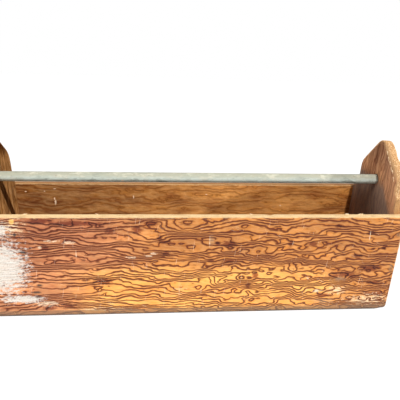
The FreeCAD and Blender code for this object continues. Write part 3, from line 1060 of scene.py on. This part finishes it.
def end_finish(name, seed, face, outer, bare):
    """The finish of one face of an end, and of the edges beside it."""
    finish = Finish(name)
    y, z = finish.y, finish.z
    up = end_upright(finish)
    facing_out = finish.facing("X")
    rough = finish.grain(up, y, (24, 8), seed + 31, 4.0, 0.7)
    wood, face_height = face(finish, seed)
    scraped = scratches(finish, up, y, seed + 52, 0.8, 0.5)
    wood = finish.mix(scraped * 0.45, wood, PALE_SCRATCH)
    depth = end_depth(finish)
    splinters = finish.noise(finish.vector(up * 220, y * 340, depth * 400), 4.0, 0.75)
    plies, ply_height = gable_plies(finish, up, depth, splinters, seed)
    wood = finish.mix(facing_out, plies, wood)
    rubbed = rubbed_gable(finish, up, facing_out, splinters)
    wood = finish.mix(rubbed * 0.8, wood, bare)
    if outer:
        wood = soiled(finish, wood, rough, 0.0, 0.008, 0.7)
        wood = rusty(finish, wood, rough, oval_reach((abs(y), z), END_NAILS), 0.3)
    else:
        # Dirt and painted shade in the inside corners.
        wood = dirt_and_shade_in_corners(finish, wood, facing_out, up.eased(0.2, 0.08))
    height = finish.between(facing_out, ply_height, face_height)
    worn = scraped.most(rubbed).most(1 - facing_out)
    knocks = finish.grain(up, y, (30, 16), seed + 75, 3.0)
    normal = finish.bump(knocks, 0.0025, finish.bump(height, 0.0008))
    return finish.surface(Base_Color=wood, Normal=normal, Specular_IOR_Level=0.0,
                          Roughness=0.52 + worn * 0.28 + (rough - 0.5) * 0.2)


# %% [markdown]
# ## Wear and finish the ends
# Below the rim an end is held between the sides, so only its gable is rubbed and
# chipped. The cuts make a fine grid there, so that its sawn edges can waver.

# %% The left board and the right board
END_CUTS = ((2, steps(RIM + 0.003, TOP - 0.004, 0.005)), (1, steps(-0.09, 0.09, 0.006)))
GABLE_X = FOOT_HALF + 0.37 * TAN_LEAN
RIGHT_CHIPS = (((GABLE_X, -0.02, 0.374), 0.012, 0.003, (0.5, 0.2, -1)),
               ((GABLE_X + BOARD, -0.05, 0.352), 0.014, 0.003, (-0.7, 0.5, -0.7)),
               ((GABLE_X, -0.112, 0.258), 0.012, 0.003, (0.5, 1, -0.3)))
LEFT_CHIPS = (((-GABLE_X, 0.03, 0.366), 0.012, 0.003, (-0.5, -0.2, -1)),
              ((-GABLE_X - BOARD, 0.07, 0.338), 0.014, 0.003, (0.7, -0.5, -0.7)))


def free_of_end(place):
    """True on the arrises of an end that stand clear of the sides."""
    return place.z > RIM + 0.004


for end, seed, inside, bare, wear_seed, chips in (
        ("left", 500, left_inside, DULL_FIR, 13, LEFT_CHIPS),
        ("right", 640, right_inside, BARE_FIR, 21, RIGHT_CHIPS)):
    firs = (end_finish(f"{end}_fir_outside", seed, end_outside, True, BARE_FIR),
            end_finish(f"{end}_fir_inside", seed, inside, False, bare))
    worn = wear_board(f"{end}_end", END_CUTS, free_of_end, 0.0008, wear_seed, chips)
    finish_board(worn, f"{end}_board", f"{end}_end", firs)

# %% [markdown]
# ## Torn fibres
# Tools drag over the rim of the front, and hands over the front slope of the right
# gable. A few pale fibres stand up there. Each is a thin cone half sunk in the wood,
# given by its foot in metres, its direction and its length.

# %% Raise the torn fibres
def torn_finish():
    finish = Finish("torn_fir")
    fibre = finish.noise(finish.vector(finish.x * 400, finish.y * 700, finish.z * 700), 3.0)
    wood = finish.mix(fibre.eased(0.35, 0.65), colour(252, 232, 196), colour(214, 172, 120))
    return finish.surface(Base_Color=wood, Roughness=0.85, Normal=finish.bump(fibre, 0.0003))


def torn_fibres(name, material, places):
    mesh = bmesh.new()
    for foot, along, length in places:
        along = Vector(along).normalized()
        middle = Vector(foot) + along * length * 0.35
        turn = along.to_track_quat("Z", "Y").to_matrix().to_4x4()
        bmesh.ops.create_cone(mesh, cap_ends=True, segments=7, radius1=0.0012,
                              radius2=0.0003, depth=length,
                              matrix=Matrix.Translation(middle) @ turn)
    fibres = new_object(name, mesh, [material])
    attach(fibres, "box")
    print(f"{name}: {len(places)} fibres")


# %% [markdown]
# ## Where the fibres stand
# On the rim they lie along the front's inner arris, some to the left and some to the
# right. On the gable they all hang down the front slope, from the inner face.

# %% The fibres of the rim and of the gable
SUNK = 0.0008
RIM_FIBRES = ((-0.372, 1), (-0.368, 1), (0.122, -1), (0.334, 1), (0.337, 1),
              (0.343, -1), (0.366, 1), (0.371, 1), (-0.214, -1))
GABLE_FIBRES = ((-0.030, 0.362, 0.010), (-0.042, 0.350, 0.012), (-0.052, 0.342, 0.009),
                (-0.062, 0.331, 0.013), (-0.070, 0.326, 0.009), (-0.080, 0.312, 0.012))

torn_fir = torn_finish()
on_rim = [((x, -HALF_WIDTH - SUNK, RIM - SUNK), (direction, 0.25, 0.32), 0.008)
          for x, direction in RIM_FIBRES]
torn_fibres("front_rim_fibres", torn_fir, on_rim)
on_gable = [((FOOT_HALF + z * TAN_LEAN, y, z), (-0.12, -0.62, -0.75), length)
            for y, z, length in GABLE_FIBRES]
torn_fibres("right_gable_fibres", torn_fir, on_gable)

# %% [markdown]
# ## The bottom
# The bottom, the pipe and the nails keep their shapes as they were made and only take
# a finish. The bottom is bare fir, dusty in its corners, where painted shade darkens it too, and
# scuffed grey underneath.

# %% The finish of the bottom
BOTTOM_FIR = (colour(190, 134, 82), colour(152, 102, 60), colour(104, 62, 38))


def dress(node, material):
    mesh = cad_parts[node].data
    mesh.materials.clear()
    mesh.materials.append(material)


def bottom_finish():
    finish = Finish("bottom_fir")
    x, y, z = finish.x, finish.y, finish.z
    wood, height = peeled_fir(finish, x, y, 801, *BOTTOM_FIR, line=0.55)
    under = z.eased(BOARD * 0.6, BOARD * 0.4)
    dust = finish.grain(x, y, (40, 25), 811, 4.0, 0.65)
    # Painted shade close to the inside corners, which is added to the dust.
    corner = 1 - inside_corner(finish).eased(0.0, 0.045)
    dust_and_shade = (dust.eased(0.42, 0.7) * 0.5 + corner * 0.6).least(1.0)
    wood = finish.mix(dust_and_shade * (1 - under * 0.5), wood, colour(112, 90, 70))
    scuffs = finish.grain(x, y, (70, 9), 821, 4.0, 0.7).eased(0.45, 0.7) * under
    wood = finish.mix(scuffs * 0.7, wood, colour(150, 136, 118))
    scraped = scratches(finish, x, y, 831, 0.6, 0.45)
    scraped = scraped.most(scratches(finish, x, y, 841, -0.4, 0.5))
    wood = finish.mix(scraped * 0.6, wood, colour(214, 182, 144))
    normal = finish.bump(dust, 0.001, finish.bump(height, 0.0007))
    return finish.surface(Base_Color=wood, Roughness=0.75 + dust_and_shade * 0.15, Normal=normal)


dress("bottom_board", bottom_finish())

# %% [markdown]
# ## The pipe
# The pipe is old galvanised steel. Zinc sets in flat grains, which a cell texture
# gives, each in its own tone. Over them lie chalky and dull clouds and rusty specks.
# Where the pipe enters the ends it is painted darker, as painted shade. Its upper half is painted
# darker and browner and its lower half paler, which evens out how the lamps light it, and a band
# along its underside is painted shade.

# %% The finish of the pipe
ZINC_CHIP = ((-169, -6, 4, 2.5),)


def zinc_colour(finish, tone, cloud, fine):
    x, z = finish.x, finish.z
    # Painted light: the upper half is painted darker and browner and the lower half paler, to even
    # out how the lamps light the pipe.
    painted_light_halves = (z - PIPE_HEIGHT + (cloud - 0.5) * 0.006).eased(-0.004, 0.008)
    zinc = finish.mix(painted_light_halves, colour(216, 228, 218), colour(156, 154, 136))
    zinc = finish.mix(tone * 0.35, zinc, colour(154, 160, 144))
    chalk = cloud.eased(0.52, 0.66)
    zinc = finish.mix(chalk * 0.35, zinc, colour(222, 216, 194))
    dull = cloud.eased(0.44, 0.34)
    zinc = finish.mix(dull * 0.5, zinc, colour(122, 126, 114))
    specks = fine.eased(0.6, 0.68) * cloud.eased(0.45, 0.6)
    zinc = finish.mix(specks * 0.6, zinc, colour(118, 96, 72))
    chips = ovals((x, z - PIPE_HEIGHT), fine, ZINC_CHIP, 0.6)
    zinc = finish.mix(chips * 0.85, zinc, colour(244, 232, 206))
    # Painted shade where the pipe enters the ends.
    socket_shade = (abs(x) + (fine - 0.5) * 0.006).eased(0.446, 0.453)
    zinc = finish.mix(socket_shade * 0.4, zinc, colour(120, 112, 96))
    # Painted shade: a dark band along the underside of the pipe.
    under = (z - PIPE_HEIGHT + (fine - 0.5) * 0.002).eased(-0.0085, -0.0105)
    return finish.mix(under * 0.6, zinc, colour(96, 90, 78)), chalk


def pipe_finish():
    finish = Finish("old_zinc")
    x, y, z = finish.x, finish.y, finish.z
    grains = finish.node("ShaderNodeTexVoronoi", out="Color", inputs={
        "Vector": finish.vector(x * 70, y * 110, z * 110), "Scale": 1.0})
    tone = finish.part_of(grains, "X")
    cloud = finish.noise(finish.vector(x * 28, y * 60, z * 60), 4.0, 0.65)
    fine = finish.noise(finish.vector(x * 240, y * 320, z * 320), 3.0, 0.7)
    zinc, chalk = zinc_colour(finish, tone, cloud, fine)
    normal = finish.bump(fine, 0.0003, finish.bump(tone, 0.0002))
    return finish.surface(Base_Color=zinc, Metallic=0.2 - chalk * 0.15,
                          Roughness=0.62 + cloud * 0.25, Normal=normal)


dress("handle_pipe", pipe_finish())

# %% [markdown]
# ## The nails
# Only the nail heads show. Rust is brown and has no metal shine, so the same noise
# turns the colour and takes the metal away.

# %% The finish of the nails
def nail_finish():
    finish = Finish("rusty_nail_steel")
    rust = finish.noise(finish.vector(finish.x * 500, finish.y * 500, finish.z * 500),
                        3.0, 0.65)
    steel = finish.mix(rust.eased(0.35, 0.6), colour(176, 128, 84), colour(124, 84, 58))
    return finish.surface(Base_Color=steel, Metallic=0.6 - rust * 0.6,
                          Roughness=0.5 + rust * 0.4, Normal=finish.bump(rust, 0.0003))


nail_steel = nail_finish()
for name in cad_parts:
    if name.endswith("_nails"):
        dress(name, nail_steel)

# %% [markdown]
# ## The camera
# The camera stands in front of the box, a little to the left of its middle, and
# looks down on it, so that the rims, the inside of the rear side and both ends show.

# %% Place the camera
def aim_camera(place, turn, tip, roll, lens_mm):
    """turn is to the right, tip is downwards, and roll is clockwise, in radians."""
    forward = Vector((math.sin(turn) * math.cos(tip), math.cos(turn) * math.cos(tip),
                      -math.sin(tip)))
    right = Vector((math.cos(turn), -math.sin(turn), 0))
    up = right.cross(forward)
    rolled_right = right * math.cos(roll) + up * math.sin(roll)
    rolled_up = up * math.cos(roll) - right * math.sin(roll)
    lens = bpy.data.cameras.new("camera")
    lens.sensor_width = 36.0
    lens.lens = lens_mm
    lens.clip_end = 50
    camera = bpy.data.objects.new("camera", lens)
    columns = (rolled_right, rolled_up, -forward, Vector(place))
    camera.matrix_world = Matrix([[column[row] for column in columns] for row in range(3)]
                                 + [[0, 0, 0, 1]])
    bpy.context.scene.collection.objects.link(camera)
    bpy.context.scene.camera = camera
    print(f"lens {lens.lens:.1f} mm")


aim_camera((-0.0918, -1.0546, 0.5803), turn=0.10168, tip=0.31958, roll=0.03494,
           lens_mm=41.283)

# %% [markdown]
# ## Light
# One lamp stands high in front. A weaker one to the right throws the handle's shadow
# down the inside of the left end, and one to the left shines nearly level on to the
# inside of the right end. Their directions are the ways in which the light travels.

# %% Light the box
def sun(name, direction, strength, softness):
    lamp = bpy.data.lights.new(name, "SUN")
    lamp.energy = strength
    lamp.angle = math.radians(softness)
    lamp_object = bpy.data.objects.new(name, lamp)
    lamp_object.rotation_euler = Vector(direction).to_track_quat("-Z", "Y").to_euler()
    bpy.context.scene.collection.objects.link(lamp_object)
    print(f"{name}: strength {strength}")


sun("high_lamp", (-0.08, 0.50, -0.86), 3.2, 1.5)
sun("right_lamp", (-0.85, 0.26, -0.45), 2.8, 1)
sun("left_lamp", (0.99, 0.05, -0.12), 1.0, 6)

# %% [markdown]
# ## A white room
# The background is white to the eye, and to anything that mirrors it or is looked
# through, because Light Path tells these rays apart. As a light the room is weaker: it
# only fills the shadows.

# %% The room
ROOM_SEEN = 1.0
ROOM_LIGHT = 0.24


def sees_background(graph):
    """1 for the rays that show the background: straight, mirrored or through glass."""
    seen = graph.node("ShaderNodeLightPath", out="Is Camera Ray")
    for kind in ("Is Glossy Ray", "Is Transmission Ray"):
        seen = seen.most(graph.node("ShaderNodeLightPath", out=kind))
    return seen


world = bpy.data.worlds.new("room")
bpy.context.scene.world = world
world.use_nodes = True
room = Graph(world.node_tree)
strength = room.between(sees_background(room), ROOM_LIGHT, ROOM_SEEN)
white = room.node("ShaderNodeBackground", inputs={"Color": (1, 1, 1, 1), "Strength": strength})
room.node("ShaderNodeOutputWorld", inputs={"Surface": white})
print(f"room light {ROOM_LIGHT}")

# %% [markdown]
# ## The floor
# The floor is white and keeps the shadow of the box: it is mostly its own white, and
# for the rest a plain pale surface that the lamps light. It lies a hair below the
# feet, because two faces in one place would flicker.

# %% Lay the floor
FLOOR_GAP = 0.0003
FLOOR_HALF = 8
OWN_WHITE = 0.7

floor_material = bpy.data.materials.new("white_floor")
floor_material.use_nodes = True
painted = Graph(floor_material.node_tree)
glow = painted.node("ShaderNodeEmission", inputs={"Color": (1, 1, 1, 1), "Strength": 1.0})
lit = painted.node("ShaderNodeBsdfDiffuse", inputs={"Color": (0.86, 0.86, 0.86, 1)})
both = painted.node("ShaderNodeMixShader",
                    inputs={0: sees_background(painted) * OWN_WHITE, 1: lit, 2: glow})
painted.node("ShaderNodeOutputMaterial", inputs={"Surface": both})

floor_mesh = bmesh.new()
bmesh.ops.create_grid(floor_mesh, x_segments=1, y_segments=1, size=FLOOR_HALF,
                      matrix=Matrix.Translation((0, 0, -FLOOR_GAP)))
floor = new_object("floor", floor_mesh, [floor_material])
print(f"floor {2 * FLOOR_HALF} m wide")

bpy.context.scene.view_settings.view_transform = "Standard"
